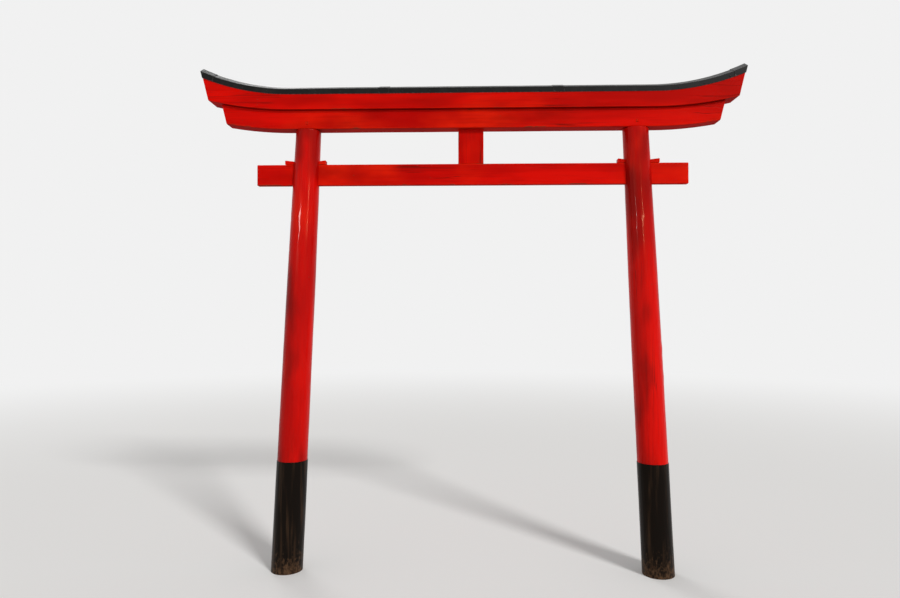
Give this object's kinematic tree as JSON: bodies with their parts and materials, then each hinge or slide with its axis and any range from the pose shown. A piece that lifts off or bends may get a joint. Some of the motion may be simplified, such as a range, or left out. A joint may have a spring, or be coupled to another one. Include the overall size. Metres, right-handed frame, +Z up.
{
  "type": "torii gate",
  "caption": "Timber shrine gate: leaning log posts with black base sleeves, wedged tie beam, strut, and a double lintel with upturned ends under a sheet roof.",
  "frame": {"origin": "centre of the left post's flat foot, on the ground; left and right are as seen when looking along +Y", "axes": "+X across the gate towards the right post, +Y along the path through the gate, +Z up"},
  "size_m": [3.2192, 0.19, 2.9921],
  "materials": {
    "vermilion_post": "gloss vermilion paint on a peeled log",
    "vermilion_beam": "gloss vermilion paint on sawn timber",
    "black_base": "satin black paint",
    "black_sheet": "satin black paint on folded sheet"
  },
  "bodies": {
    "root": {"left_post": "vermilion_post", "right_post": "vermilion_post", "left_base_sleeve": "black_base", "right_base_sleeve": "black_base", "tie_beam": "vermilion_beam", "left_outer_wedge": "vermilion_beam", "left_inner_wedge": "vermilion_beam", "right_inner_wedge": "vermilion_beam", "right_outer_wedge": "vermilion_beam", "centre_strut": "vermilion_beam", "lower_lintel": "vermilion_beam", "left_draw_pin": "vermilion_beam", "right_draw_pin": "vermilion_beam", "upper_lintel": "vermilion_beam", "left_roof_sheet": "black_sheet", "middle_roof_sheet": "black_sheet", "right_roof_sheet": "black_sheet", "left_joint_cover": "black_sheet", "right_joint_cover": "black_sheet", "left_end_cap": "black_sheet", "right_end_cap": "black_sheet"}
  },
  "joints": []
}
